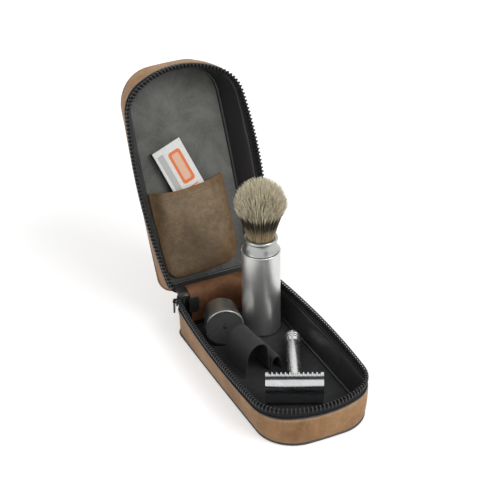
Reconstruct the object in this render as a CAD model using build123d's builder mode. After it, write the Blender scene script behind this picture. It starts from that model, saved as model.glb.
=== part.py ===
from build123d import *
import os
from math import asin, atan2, cos, pi, radians, sin, sqrt

# Travel shaving set: a zipped leather case that stands open, with a brush, its travel cap,
# a three-piece safety razor and a box of blades in the lid's pocket.
# All sizes in millimetres. The origin is the middle of the case's sole, on the table,
# +X runs along the hinge, +Y from the front to the hinge, and +Z is up.

os.makedirs("parts", exist_ok=True)

# Case
case_width = 83.4
case_length = 176.6
front_corner = 28.6
hinge_corner = 12.0
sole_side_curve = 0.4
sole_front_curve = 2.0
wall_height = 23.0
fold_height = 29.4
fold_gap = 1.0
lid_open_angle = 115.6

# How far each rim stands out past the sole, and how round its front is
tray_side_splay = 5.0
tray_front_splay = 1.4
tray_front_curve = 15.0
lid_side_splay = 9.0
lid_front_splay = -1.2
lid_front_curve = 17.0
splay_middle_y = -20.0
shoulder_share = 0.62

# Case layers
leather = 1.6
board = 1.0
floor_cloth = 0.6
padding_foot = 2.8
padding_rim = 1.4
edge_bead_height = 1.3
edge_bead_proud = 0.6
rim_bead_height = 1.1
rim_bead_proud = 0.5
floor_bead = 1.5

# Zip
tape = 1.2
tape_inset = 1.2
tape_height = 5.2
tape_gap_half = 30.0
tooth_pitch = 2.6
tooth_length = 1.5
tooth_width = 2.6
tooth_height = 2.4
tooth_end_margin = 9.0
slider_angle = 150.0
slider_length = 8.0
slider_height = 6.6
slider_taper = 78.0
slider_plate = 1.2
slider_clearance = 0.35
crown_bar = 1.1
crown_reach = 1.8
pull_eye = 2.6
pull_eye_length = 3.0
pull_clearance = 0.15
pull_length = 9.0
pull_width = 5.0
pull_thickness = 1.2

# Hinge leather and zip end inside the tray
gusset = 1.6
gusset_left = -30.0
gusset_right = 20.0
gusset_foot = 7.0
gusset_corner = 6.0
zip_end_left = -32.0
zip_end_right = -24.0
zip_end_foot = 16.0
zip_end_drop = 0.6

# Elastic holder on the tray's floor
band = 1.1
band_length = 30.0
band_front_y = 0.0
large_loop_x = -12.5
large_loop_width = 21.0
large_loop_height = 27.5
small_loop_width = 9.0
small_loop_height = 12.0
loop_spacing = 0.4
loop_foot = 3.0
loop_turn = 4.0

# Lid pocket, from the seam at the foot of the lid's floor
pocket_left = -34.0
pocket_right = 27.0
pocket_foot = 6.0
pocket_mouth = 77.0
pocket_corner = 9.0
pocket_depth = 9.0
pocket_draw_in = 4.0
pocket_leather = 1.4

# Blade box
box_width = 26.5
box_length = 48.0
box_depth = 6.2
box_card = 0.6
box_turn = 19.0
box_centre_x = -8.6
box_centre_s = 87.0
box_tray_clearance = 0.25

# Brush
brush_x = 17.8
brush_y = 56.2
tube_diameter = 30.0
tube_height = 72.0
tube_wall = 1.6
tube_foot = 2.4
tube_edge = 2.2
tube_bead = 0.7
collar_fit = 0.08
collar_spigot = 8.0
collar_shoulder = 0.6
collar_height = 8.0
collar_neck_radius = 11.9
collar_flare = 0.6
collar_ring = 2.8
collar_ring_radius = 12.5
socket_radius = 10.9
socket_depth = 7.0
plug_clearance = 0.2
plug_height = 4.6
knot_root_radius = 9.4
knot_radius = 20.0
knot_centre_height = 40.6
knot_spread = 98.0
strand_count = 300
strand_root = 0.36
strand_tip = 0.62

# Travel cap, lying on its side
cap_x = -18.2
cap_y = 46.0
cap_heading = 16.5
cap_flange_radius = 15.4
cap_flange_length = 4.6
cap_body_radius = 13.8
cap_length = 24.0
cap_wall = 1.5
cap_floor = 2.0
cap_disc = 1.2
cap_disc_clearance = 0.1
vent_radius = 1.5

# Razor, lying with its head on edge
razor_x = -4.3
razor_y = -44.6
razor_heading = 26.0
head_length = 43.0
guard_width = 26.0
cap_face_width = 23.4
plate_thickness = 1.6
plate_boss = 2.6
plate_boss_radius = 6.4
blade_width = 22.0
blade_thickness = 0.2
blade_bend_radius = 30.0
head_cap_thickness = 3.2
head_cap_edge = 0.9
head_gap = 0.1
scallop_count = 12
scallop_pitch = 3.3
scallop_radius = 1.15
post_radius = 2.0
post_length = 9.0
post_end_clearance = 1.0
stud_radius = 1.5
stud_spacing = 20.0
hole_clearance = 0.3
handle_length = 82.0
handle_collar_radius = 6.5
handle_collar_height = 1.4
handle_neck_radius = 4.5
neck_flare = 0.5
neck_place = 5.5
handle_belly_radius = 5.4
belly_place = 42.6
handle_waist_radius = 4.9
knob_radius = 6.1
knob_length = 13.0
knob_crown = 3.2
knob_round = 3.0
knob_groove = 0.6
knob_step = 2.4
groove_spacing = 3.0

rest_gap = 0.2

# Places worked out from the sizes above
half_width = case_width / 2
back_y = case_length / 2
floor_top = leather + board + floor_cloth
tape_top = wall_height + tape_height
teeth_top = tape_top + tooth_height
tray_splay = (tray_side_splay, tray_front_splay, tray_front_curve)
lid_splay = (lid_side_splay, lid_front_splay, lid_front_curve)
lid_lean = radians(lid_open_angle - 90)
up_lid = Vector(0, sin(lid_lean), cos(lid_lean))
into_lid = Vector(0, -cos(lid_lean), sin(lid_lean))
fold_y = back_y + fold_gap / 2
fold_point = Vector(0, fold_y, fold_height)
tray_plane = Plane.XY
lid_plane = Plane(
    origin=fold_point + up_lid * fold_y - into_lid * fold_height,
    x_dir=(-1, 0, 0),
    z_dir=into_lid,
)
lid_floor_plane = Plane(
    origin=fold_point
    + up_lid * (fold_gap / 2 + leather + padding_foot)
    - into_lid * (fold_height - floor_top),
    x_dir=(1, 0, 0),
    z_dir=into_lid,
)


def write(piece, name):
    piece.part.label = name
    export_step(piece.part, f"parts/{name}.step")


# Outline of the case at a height over its sole, for the tray or, on its own plane, the lid
def case_section(plane, height, splay, inset=0.0):
    side_splay, front_splay, front_curve = splay
    rise = height / wall_height
    middle_x = half_width + sole_side_curve + side_splay * rise - inset
    shoulder_x = half_width + side_splay * shoulder_share * rise
    front_y = -(back_y + front_splay * rise)
    curve = sole_front_curve + (front_curve - sole_front_curve) * rise
    front_radius = (shoulder_x**2 + curve**2) / (2 * curve)
    front_angle = asin(shoulder_x / front_radius)
    shoulder_y = front_y + curve + inset * (1 - sin(front_angle)) / cos(front_angle)
    shoulder_x -= inset
    corner_x = half_width - inset
    corner_y = back_y - inset
    with BuildSketch(plane.offset(height)) as section:
        with BuildLine():
            Line((-corner_x, corner_y), (corner_x, corner_y))
            ThreePointArc((corner_x, corner_y), (middle_x, splay_middle_y), (shoulder_x, shoulder_y))
            ThreePointArc((shoulder_x, shoulder_y), (0, front_y + inset), (-shoulder_x, shoulder_y))
            ThreePointArc((-shoulder_x, shoulder_y), (-middle_x, splay_middle_y), (-corner_x, corner_y))
        make_face()
        fillet(section.vertices().group_by(Axis.Y)[0], front_corner - inset)
        fillet(section.vertices().group_by(Axis.Y)[-1], hinge_corner - inset)
    return section.sketch


# Solid between the case's outlines at two heights, set in by the given amounts
def case_body(plane, splay, low, high, low_inset, high_inset):
    with BuildPart() as body:
        loft(
            [case_section(plane, low, splay, low_inset), case_section(plane, high, splay, high_inset)],
            ruled=True,
        )
    return body.part


# Slab of a body between two heights over the sole
def slab(plane, body, low, high):
    with BuildPart() as slice_:
        add(body)
        if low > 0:
            split(bisect_by=plane.offset(low), keep=Keep.TOP)
        split(bisect_by=plane.offset(high), keep=Keep.BOTTOM)
    return slice_


# The zip ends at the hinge, so tape and rim bead leave a gap in the back wall
def hinge_gap(plane):
    with BuildSketch(plane.offset(wall_height)) as gap:
        with Locations((0, back_y)):
            Rectangle(2 * tape_gap_half, 2 * hinge_corner)
    return gap.sketch


# One half of the case, as the tray on the table or as the lid on its own plane
def make_half_case(name, panel_name, plane, splay):
    outside = case_body(plane, splay, 0, wall_height, 0, 0)
    inside = case_body(plane, splay, 0, wall_height, leather, leather)
    hollow = case_body(
        plane, splay, 0, wall_height, leather + padding_foot, leather + padding_rim
    )

    write(slab(plane, inside, 0, leather), panel_name)
    write(slab(plane, inside, leather, leather + board), f"{name}_board")
    write(slab(plane, inside, leather + board, floor_top), f"{name}_floor_cloth")

    with BuildPart() as wall:
        add(outside)
        add(inside, mode=Mode.SUBTRACT)
        split(bisect_by=plane.offset(edge_bead_height), keep=Keep.TOP)
        with BuildSketch(plane.offset(wall_height)):
            with Locations((0, back_y)):
                Rectangle(2 * tape_gap_half, leather, align=(Align.CENTER, Align.MAX))
        extrude(amount=fold_height - wall_height)
    write(wall, f"{name}_wall")

    with BuildPart() as edge_piping:
        extrude(case_section(plane, 0, splay, -edge_bead_proud), amount=edge_bead_height)
        add(inside, mode=Mode.SUBTRACT)
    write(edge_piping, f"{name}_edge_piping")

    with BuildPart() as wall_lining:
        add(inside)
        split(bisect_by=plane.offset(floor_top), keep=Keep.TOP)
        add(hollow, mode=Mode.SUBTRACT)
    write(wall_lining, f"{name}_wall_lining")

    with BuildPart() as floor_piping:
        add(slab(plane, hollow, floor_top, floor_top + floor_bead).part)
        extrude(
            case_section(plane, floor_top, splay, leather + padding_foot + floor_bead),
            amount=floor_bead,
            mode=Mode.SUBTRACT,
        )
    write(floor_piping, f"{name}_floor_piping")

    tape_outside = case_body(plane, splay, wall_height, tape_top, tape_inset, tape_inset)
    tape_inner = tape_inset + tape
    with BuildPart() as rim_piping:
        extrude(case_section(plane, wall_height, splay, -rim_bead_proud), amount=rim_bead_height)
        add(tape_outside, mode=Mode.SUBTRACT)
        extrude(hinge_gap(plane), amount=rim_bead_height, mode=Mode.SUBTRACT)
    write(rim_piping, f"{name}_rim_piping")

    with BuildPart() as zip_tape:
        add(tape_outside)
        add(
            case_body(plane, splay, wall_height, tape_top, tape_inner, tape_inner),
            mode=Mode.SUBTRACT,
        )
        extrude(hinge_gap(plane), amount=tape_height, mode=Mode.SUBTRACT)
    write(zip_tape, f"{name}_zip_tape")

    # Teeth at an even pitch along the top of the tape, clear of the hinge
    path = case_section(plane, tape_top, splay, tape_inset + tape / 2).wire()
    teeth = []
    for place in range(int(path.length / tooth_pitch)):
        share = place * tooth_pitch / path.length
        point = path.position_at(share)
        if plane.to_local_coords(point).Y < back_y - tooth_end_margin:
            along = path.tangent_at(share)
            seat = Plane(origin=point, x_dir=along, z_dir=plane.z_dir)
            tooth = Box(
                tooth_length,
                tooth_width,
                tooth_height,
                align=(Align.CENTER, Align.CENTER, Align.MIN),
                mode=Mode.PRIVATE,
            )
            teeth.append(seat.location * tooth)
    with BuildPart() as zip_teeth:
        add(Compound(children=teeth))
    write(zip_teeth, f"{name}_zip_teeth")
    return wall.part, wall_lining.part, path


tray_wall, tray_wall_lining, tray_tooth_path = make_half_case("tray", "tray_sole", tray_plane, tray_splay)
make_half_case("lid", "lid_panel", lid_plane, lid_splay)

# Leather over the hinge, inside the tray's back wall
gusset_reach = leather + padding_foot + gusset
with BuildPart() as hinge_gusset:
    with BuildSketch(Plane.XZ.offset(-back_y)) as gusset_face:
        with Locations((gusset_left, gusset_foot)):
            Rectangle(
                gusset_right - gusset_left,
                fold_height - gusset_foot,
                align=(Align.MIN, Align.MIN),
            )
        fillet(gusset_face.vertices().group_by(Axis.Y)[-1], gusset_corner)
    extrude(amount=gusset_reach)
    add(tray_wall, mode=Mode.SUBTRACT)
    add(tray_wall_lining, mode=Mode.SUBTRACT)
write(hinge_gusset, "hinge_gusset")

# Folded end of the zip tape, sewn over the gusset's left end
with BuildPart() as zip_end:
    with BuildSketch(Plane.XZ.offset(gusset_reach - back_y)) as zip_end_face:
        with Locations((zip_end_left, zip_end_foot)):
            Rectangle(
                zip_end_right - zip_end_left,
                fold_height - zip_end_drop - zip_end_foot,
                align=(Align.MIN, Align.MIN),
            )
        fillet(zip_end_face.vertices().group_by(Axis.Y)[0], tape)
    extrude(amount=tape)
write(zip_end, "zip_end")

# Slider, parked in the left hinge corner, and its pull
corner_arc = tray_tooth_path.edges().sort_by_distance((-half_width, back_y, tape_top))[0]
corner_centre = corner_arc.arc_center
slider_outward = Vector(cos(radians(slider_angle)), sin(radians(slider_angle)), 0)
slider_travel = Vector(-sin(radians(slider_angle)), cos(radians(slider_angle)), 0)
slider_plane = Plane(
    origin=corner_centre + slider_outward * corner_arc.radius + Vector(0, 0, tooth_height / 2),
    x_dir=slider_travel,
    z_dir=slider_outward,
)
outer_gap = tooth_width / 2 + slider_clearance
inner_face_radius = corner_arc.radius - tooth_width / 2 - slider_clearance
inner_gap = corner_arc.radius - sqrt(inner_face_radius**2 - (slider_length / 2) ** 2)
slider_top = tooth_height / 2 + slider_clearance + slider_plate
crown_z = outer_gap + slider_plate + crown_reach


def slider_shield():
    Trapezoid(slider_height, slider_length, slider_taper, align=(Align.CENTER, Align.CENTER), rotation=-90)


with BuildPart() as zip_slider:
    with BuildSketch(slider_plane.offset(outer_gap)):
        with Locations((0, slider_top - slider_height / 2)):
            slider_shield()
    extrude(amount=slider_plate)
    with BuildSketch(slider_plane.offset(-inner_gap)):
        with Locations((0, slider_top - slider_height / 2)):
            slider_shield()
    extrude(amount=-slider_plate)
    with BuildSketch(slider_plane.offset(-inner_gap)):
        with Locations((0, slider_top)):
            Rectangle(slider_length / 2, slider_plate, align=(Align.CENTER, Align.MAX))
    extrude(amount=inner_gap + outer_gap)
    with BuildSketch(slider_plane.offset(outer_gap + slider_plate)):
        with GridLocations(pull_eye_length + crown_bar + 2 * pull_clearance, 1, 2, 1):
            Rectangle(crown_bar, crown_bar)
    extrude(amount=crown_reach + crown_bar / 2)
    crown_start = slider_plane.from_local_coords(
        Vector(-(pull_eye_length / 2 + pull_clearance + crown_bar / 2), 0, crown_z)
    )
    with BuildSketch(Plane(origin=crown_start, x_dir=slider_outward, z_dir=slider_travel)):
        Circle(crown_bar / 2)
    extrude(amount=pull_eye_length + crown_bar + 2 * pull_clearance)
write(zip_slider, "zip_slider")

with BuildPart() as zip_pull:
    eye_start = slider_plane.from_local_coords(Vector(-pull_eye_length / 2, 0, crown_z))
    with BuildSketch(Plane(origin=eye_start, x_dir=slider_outward, z_dir=slider_travel)):
        Circle(pull_eye / 2)
        Circle(crown_bar / 2 + pull_clearance, mode=Mode.SUBTRACT)
    extrude(amount=pull_eye_length)
    with BuildSketch(slider_plane.offset(crown_z - pull_thickness / 2)) as pull_tab:
        with Locations((0, -pull_eye / 2 + pull_clearance)):
            Rectangle(pull_width, pull_length, align=(Align.CENTER, Align.MAX))
        fillet(pull_tab.vertices(), pull_width / 4)
    extrude(amount=pull_thickness)
write(zip_pull, "zip_pull")

# Elastic loops: an arch of band on sewn feet
def make_loop(name, centre_x, width, height):
    loop_plane = Plane(
        origin=(centre_x, band_front_y, floor_top),
        x_dir=(cos(radians(loop_turn)), sin(radians(loop_turn)), 0),
        z_dir=(sin(radians(loop_turn)), -cos(radians(loop_turn)), 0),
    )
    with BuildPart() as loop:
        with BuildSketch(loop_plane):
            Rectangle(width, height - width / 2, align=(Align.CENTER, Align.MIN))
            with Locations((0, height - width / 2)):
                Circle(width / 2)
            inner_width = width - 2 * band
            with Locations((0, -band)):
                Rectangle(
                    inner_width,
                    height - width / 2 + band,
                    align=(Align.CENTER, Align.MIN),
                    mode=Mode.SUBTRACT,
                )
            with Locations((0, height - width / 2)):
                Circle(inner_width / 2, mode=Mode.SUBTRACT)
            Rectangle(inner_width, band, align=(Align.CENTER, Align.MIN))
        extrude(amount=-band_length)
    write(loop, name)


small_loop_x = large_loop_x + large_loop_width / 2 + loop_spacing + small_loop_width / 2
make_loop("large_loop", large_loop_x, large_loop_width, large_loop_height)
make_loop("small_loop", small_loop_x, small_loop_width, small_loop_height)


# Pocket sewn to the lid's floor, open at the top
def pocket_outline(height, inset):
    width = pocket_right - pocket_left - 2 * inset
    with BuildSketch(lid_floor_plane.offset(height)) as outline:
        with Locations(((pocket_left + pocket_right) / 2, pocket_foot + inset)):
            Rectangle(width, pocket_mouth - pocket_foot - inset, align=(Align.CENTER, Align.MIN))
        fillet(outline.vertices().group_by(Axis.Y)[0], pocket_corner)
    return outline.sketch


with BuildPart() as lid_pocket:
    loft([pocket_outline(0, 0), pocket_outline(pocket_depth, pocket_draw_in)], ruled=True)
    inner_depth = pocket_depth - pocket_leather
    with BuildSketch(lid_floor_plane) as pocket_space:
        with Locations(((pocket_left + pocket_right) / 2, pocket_foot + pocket_draw_in + pocket_leather)):
            Rectangle(
                pocket_right - pocket_left - 2 * (pocket_draw_in + pocket_leather),
                pocket_mouth,
                align=(Align.CENTER, Align.MIN),
            )
        fillet(pocket_space.vertices().group_by(Axis.Y)[0], pocket_corner - pocket_leather)
    extrude(amount=inner_depth, mode=Mode.SUBTRACT)
write(lid_pocket, "lid_pocket")

# Blade box: a card sleeve with a tray of blades inside
box_centre = lid_floor_plane.from_local_coords(
    Vector(box_centre_x, box_centre_s, (pocket_depth - pocket_leather - box_depth) / 2)
)
box_x = lid_floor_plane.x_dir * cos(radians(box_turn)) + up_lid * sin(radians(box_turn))
box_plane = Plane(origin=box_centre, x_dir=box_x, z_dir=into_lid)
box_end_plane = Plane(
    origin=box_plane.from_local_coords(Vector(0, -box_length / 2, box_depth / 2)),
    x_dir=box_plane.x_dir,
    z_dir=box_plane.y_dir,
)
tray_inset = box_card + box_tray_clearance
with BuildPart() as blade_sleeve:
    with BuildSketch(box_end_plane):
        Rectangle(box_width, box_depth)
        Rectangle(box_width - 2 * box_card, box_depth - 2 * box_card, mode=Mode.SUBTRACT)
    extrude(amount=box_length)
write(blade_sleeve, "blade_sleeve")

with BuildPart() as blade_tray:
    with BuildSketch(box_end_plane):
        Rectangle(box_width - 2 * tray_inset, box_depth - 2 * tray_inset)
    extrude(amount=box_length)
write(blade_tray, "blade_tray")


# Turned pieces are drawn on a plane through their axis, radius across and height up
def axis_plane(base):
    return Plane(origin=base.origin, x_dir=base.x_dir, z_dir=base.y_dir * -1)


# Brush
brush_plane = Plane(origin=(brush_x, brush_y, floor_top + rest_gap))
brush_axis = Axis(brush_plane.origin, brush_plane.z_dir)
tube_radius = tube_diameter / 2
bore_radius = tube_radius - tube_wall
with BuildPart() as brush_tube:
    with BuildSketch(axis_plane(brush_plane)) as tube_half:
        with BuildLine():
            Polyline(
                (0, 0),
                (tube_radius, 0),
                (tube_radius, tube_height),
                (bore_radius, tube_height),
                (bore_radius, tube_foot),
                (0, tube_foot),
                (0, 0),
            )
        make_face()
        fillet(tube_half.vertices().sort_by_distance((tube_radius, 0))[0], tube_edge)
        with Locations((tube_radius - tube_bead / 2, tube_height - tube_bead)):
            Circle(tube_bead)
    revolve(axis=brush_axis)
write(brush_tube, "brush_tube")

collar_foot = tube_height + collar_shoulder
collar_top = collar_foot + collar_height + collar_ring
socket_floor = collar_top - socket_depth
spigot_radius = bore_radius - collar_fit
with BuildPart() as brush_collar:
    with BuildSketch(axis_plane(brush_plane)):
        with BuildLine():
            Polyline(
                (0, tube_height - collar_spigot),
                (spigot_radius, tube_height - collar_spigot),
                (spigot_radius, tube_height),
                (spigot_radius, collar_foot),
                (tube_radius - tube_bead, collar_foot),
            )
            ThreePointArc(
                (tube_radius - tube_bead, collar_foot),
                (collar_neck_radius + collar_flare, collar_foot + collar_height / 2),
                (collar_neck_radius, collar_foot + collar_height),
            )
            Line(
                (collar_neck_radius, collar_foot + collar_height),
                (collar_ring_radius, collar_foot + collar_height),
            )
            ThreePointArc(
                (collar_ring_radius, collar_foot + collar_height),
                (collar_ring_radius + collar_ring / 4, collar_top - collar_ring / 2),
                (collar_ring_radius, collar_top),
            )
            Polyline(
                (collar_ring_radius, collar_top),
                (socket_radius, collar_top),
                (socket_radius, socket_floor),
                (0, socket_floor),
                (0, tube_height - collar_spigot),
            )
        make_face()
    revolve(axis=brush_axis)
write(brush_collar, "brush_collar")

# Badger knot: strands on a golden-angle spiral, spread from the plug to a dome
golden_angle = pi * (3 - sqrt(5))
strand_foot = socket_floor + plug_height
knot_spread_angle = radians(knot_spread)
dome_height = socket_floor + knot_centre_height - plug_height


def strand(number):
    share = sqrt((number + 0.5) / strand_count)
    turn = number * golden_angle
    lean = share * knot_spread_angle
    outward = Vector(cos(turn), sin(turn), 0)
    root = outward * (knot_root_radius * share) + Vector(0, 0, strand_foot - strand_root)
    tip = outward * (knot_radius * sin(lean)) + Vector(0, 0, dome_height + knot_radius * cos(lean))
    wires = []
    for centre, size in ((root, strand_root), (tip, strand_tip)):
        corners = []
        for side in range(3):
            corner_turn = turn + side * 2 * pi / 3
            corners.append(centre + Vector(cos(corner_turn), sin(corner_turn), 0) * size)
        wires.append(Wire.make_polygon(corners, close=True))
    return brush_plane.location * Solid.make_loft(wires, ruled=True)


strands = [strand(number) for number in range(strand_count)]
with BuildPart() as brush_knot:
    with BuildSketch(brush_plane.offset(socket_floor)):
        Circle(socket_radius - plug_clearance)
    extrude(amount=plug_height)
    add(strands)
write(brush_knot, "brush_knot")

# Travel cap, on its side with its closed end to the front
cap_tilt = atan2(cap_flange_radius - cap_body_radius, cap_length - cap_flange_length)
cap_height = cap_flange_radius * cos(cap_tilt) + cap_flange_length * sin(cap_tilt)
cap_direction = Vector(
    sin(radians(cap_heading)) * cos(cap_tilt),
    cos(radians(cap_heading)) * cos(cap_tilt),
    -sin(cap_tilt),
)
cap_plane = Plane(
    origin=(cap_x, cap_y, floor_top + rest_gap + cap_height),
    x_dir=(cos(radians(cap_heading)), -sin(radians(cap_heading)), 0),
    z_dir=cap_direction,
)
cap_axis = Axis(cap_plane.origin, cap_plane.z_dir)
cap_bore = cap_body_radius - cap_wall
disc_radius = cap_flange_radius - cap_wall
with BuildPart() as travel_cap:
    with BuildSketch(axis_plane(cap_plane)) as cap_half:
        with BuildLine():
            Polyline(
                (vent_radius, cap_disc),
                (disc_radius, cap_disc),
                (disc_radius, 0),
                (cap_flange_radius, 0),
                (cap_flange_radius, cap_flange_length),
                (cap_body_radius, cap_flange_length + cap_wall),
                (cap_body_radius, cap_length),
                (cap_bore, cap_length),
                (cap_bore, cap_disc + cap_floor),
                (vent_radius, cap_disc + cap_floor),
                (vent_radius, cap_disc),
            )
        make_face()
        fillet(cap_half.vertices().sort_by_distance((cap_flange_radius, 0))[0], cap_wall / 2)
    revolve(axis=cap_axis)
write(travel_cap, "travel_cap")

with BuildPart() as travel_cap_disc:
    with BuildSketch(cap_plane):
        Circle(disc_radius - cap_disc_clearance)
        Circle(vent_radius, mode=Mode.SUBTRACT)
    extrude(amount=cap_disc)
write(travel_cap_disc, "travel_cap_disc")

# Razor: its plane stands at the handle's seat on the plate, +Z along the handle
guard_sag = (guard_width / 2) ** 2 / (2 * blade_bend_radius)
guard_edge_z = guard_sag - plate_boss + plate_thickness / 2
knob_place = handle_length - knob_length / 2
razor_tilt = asin((guard_width / 2 - knob_radius) / (knob_place - guard_edge_z))
razor_direction = Vector(
    sin(radians(razor_heading)) * cos(razor_tilt),
    cos(radians(razor_heading)) * cos(razor_tilt),
    -sin(razor_tilt),
)
guard_reach = guard_width / 2 + plate_thickness * razor_tilt
razor_height = guard_reach * cos(razor_tilt) + guard_edge_z * sin(razor_tilt)
razor_plane = Plane(
    origin=(razor_x, razor_y, floor_top + rest_gap + razor_height),
    x_dir=(-cos(radians(razor_heading)), sin(radians(razor_heading)), 0),
    z_dir=razor_direction,
)
razor_axis = Axis(razor_plane.origin, razor_plane.z_dir)
# The head's pieces are curved bands, drawn on a plane across the razor's width
head_profile_plane = Plane(
    origin=razor_plane.from_local_coords(Vector(-head_length / 2, 0, 0)),
    x_dir=razor_plane.y_dir,
    z_dir=razor_plane.x_dir,
)


# Curved band between two bends about one centre, across half widths, apex at a height
def bent_band(half, apex_low, apex_high):
    centre = apex_low + blade_bend_radius
    outer = blade_bend_radius
    inner = centre - apex_high
    outer_sag = outer - sqrt(outer**2 - half**2)
    inner_sag = inner - sqrt(inner**2 - half**2)
    with BuildSketch(head_profile_plane) as band_face:
        with BuildLine():
            ThreePointArc((-half, apex_low + outer_sag), (0, apex_low), (half, apex_low + outer_sag))
            Line((half, apex_low + outer_sag), (half, apex_high + inner_sag))
            ThreePointArc((half, apex_high + inner_sag), (0, apex_high), (-half, apex_high + inner_sag))
            Line((-half, apex_high + inner_sag), (-half, apex_low + outer_sag))
        make_face()
    return band_face.sketch


with BuildPart() as razor_plate:
    extrude(bent_band(guard_width / 2, -plate_boss, plate_thickness - plate_boss), amount=head_length)
    with BuildSketch(razor_plane):
        Circle(plate_boss_radius)
    extrude(amount=plate_thickness - plate_boss)
    with BuildSketch(razor_plane.offset(-plate_boss)):
        with GridLocations(scallop_pitch, guard_width, scallop_count, 2):
            Circle(scallop_radius)
        Circle(post_radius + hole_clearance)
        with GridLocations(stud_spacing, 1, 2, 1):
            Circle(stud_radius + hole_clearance)
    extrude(amount=2 * (plate_boss + guard_sag), both=True, mode=Mode.SUBTRACT)
write(razor_plate, "razor_plate")

blade_apex = -plate_boss - head_gap
with BuildPart() as razor_blade:
    extrude(bent_band(blade_width / 2, blade_apex - blade_thickness, blade_apex), amount=head_length)
    with BuildSketch(razor_plane.offset(blade_apex)):
        Circle(post_radius + hole_clearance)
        with GridLocations(stud_spacing, 1, 2, 1):
            Circle(stud_radius + hole_clearance)
    extrude(amount=guard_sag + plate_boss, both=True, mode=Mode.SUBTRACT)
write(razor_blade, "razor_blade")

cap_apex = blade_apex - blade_thickness
cap_half = cap_face_width / 2
cap_sag = blade_bend_radius - sqrt(blade_bend_radius**2 - cap_half**2)
with BuildPart() as razor_cap:
    with BuildSketch(head_profile_plane):
        with BuildLine():
            ThreePointArc((-cap_half, cap_apex + cap_sag), (0, cap_apex), (cap_half, cap_apex + cap_sag))
            Line((cap_half, cap_apex + cap_sag), (cap_half, cap_apex + cap_sag - head_cap_edge))
            ThreePointArc(
                (cap_half, cap_apex + cap_sag - head_cap_edge),
                (0, cap_apex - head_cap_thickness),
                (-cap_half, cap_apex + cap_sag - head_cap_edge),
            )
            Line((-cap_half, cap_apex + cap_sag - head_cap_edge), (-cap_half, cap_apex + cap_sag))
        make_face()
    extrude(amount=head_length)
    with BuildSketch(razor_plane.offset(cap_apex - head_cap_thickness / 2)):
        Circle(post_radius)
    extrude(amount=post_length - cap_apex + head_cap_thickness / 2)
    with BuildSketch(razor_plane.offset(cap_apex - head_cap_thickness / 2)):
        with GridLocations(stud_spacing, 1, 2, 1):
            Circle(stud_radius)
    extrude(amount=head_cap_thickness / 2 - cap_apex - plate_boss + plate_thickness)
write(razor_cap, "razor_cap")

waist_place = handle_length - knob_length - knob_step
first_groove_place = handle_length - knob_length + knob_step
second_groove_place = first_groove_place + groove_spacing
knob_end_place = handle_length - knob_crown
knob_flat = knob_radius / 3
with BuildPart() as razor_handle:
    with BuildSketch(axis_plane(razor_plane)) as handle_half:
        with BuildLine():
            Line((0, head_gap), (handle_collar_radius, head_gap))
            Line((handle_collar_radius, head_gap), (handle_collar_radius, handle_collar_height))
            ThreePointArc(
                (handle_collar_radius, handle_collar_height),
                (handle_neck_radius + neck_flare, (handle_collar_height + neck_place) / 2),
                (handle_neck_radius, neck_place),
            )
            Spline(
                (handle_neck_radius, neck_place),
                (handle_belly_radius, belly_place),
                (handle_waist_radius, waist_place),
            )
            Line((handle_waist_radius, waist_place), (knob_radius, handle_length - knob_length))
            Line((knob_radius, handle_length - knob_length), (knob_radius, knob_end_place))
            Line((knob_radius, knob_end_place), (knob_flat, handle_length))
            Line((knob_flat, handle_length), (0, handle_length))
            Line((0, handle_length), (0, head_gap))
        make_face()
        fillet(handle_half.vertices().sort_by_distance((knob_radius, knob_end_place))[0], knob_round)
        fillet(handle_half.vertices().sort_by_distance((knob_flat, handle_length))[0], knob_round / 2)
    revolve(axis=razor_axis)
    with BuildSketch(axis_plane(razor_plane)):
        with Locations((knob_radius, first_groove_place), (knob_radius, second_groove_place)):
            Circle(knob_groove)
    revolve(axis=razor_axis, mode=Mode.SUBTRACT)
    with BuildSketch(razor_plane):
        Circle(post_radius + hole_clearance)
    extrude(amount=post_length + post_end_clearance, mode=Mode.SUBTRACT)
write(razor_handle, "razor_handle")
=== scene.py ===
from math import atan2, cos, exp, pi, radians, sin, sqrt

import bmesh
import bpy
import numpy as np
from mathutils import Matrix, Vector


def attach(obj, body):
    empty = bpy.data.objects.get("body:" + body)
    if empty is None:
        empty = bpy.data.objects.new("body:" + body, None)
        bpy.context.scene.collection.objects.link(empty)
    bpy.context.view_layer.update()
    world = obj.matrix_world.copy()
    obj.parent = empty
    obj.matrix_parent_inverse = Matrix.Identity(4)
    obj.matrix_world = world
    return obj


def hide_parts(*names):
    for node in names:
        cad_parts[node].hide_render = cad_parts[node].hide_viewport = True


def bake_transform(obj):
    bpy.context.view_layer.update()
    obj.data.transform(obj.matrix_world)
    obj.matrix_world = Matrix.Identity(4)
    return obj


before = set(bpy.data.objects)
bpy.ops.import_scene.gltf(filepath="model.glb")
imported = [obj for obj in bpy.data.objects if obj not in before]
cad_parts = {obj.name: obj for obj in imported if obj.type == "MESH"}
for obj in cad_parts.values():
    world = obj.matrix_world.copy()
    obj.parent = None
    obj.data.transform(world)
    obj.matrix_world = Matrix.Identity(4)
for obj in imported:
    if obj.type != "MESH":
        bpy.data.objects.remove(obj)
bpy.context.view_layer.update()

scene = bpy.context.scene
scene.view_settings.view_transform = "Standard"
mm = 0.001
print("frame loaded:", len(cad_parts), "nodes")


def addObject(name, data):
    thing = bpy.data.objects.new(name, data)
    scene.collection.objects.link(thing)
    return thing


camera = {
    "place": (-508.3, -1027.5, 832.2), "heading": -25.5, "elevation": 32.17, "roll": -0.56, "lens": 134.03,
}


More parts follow.
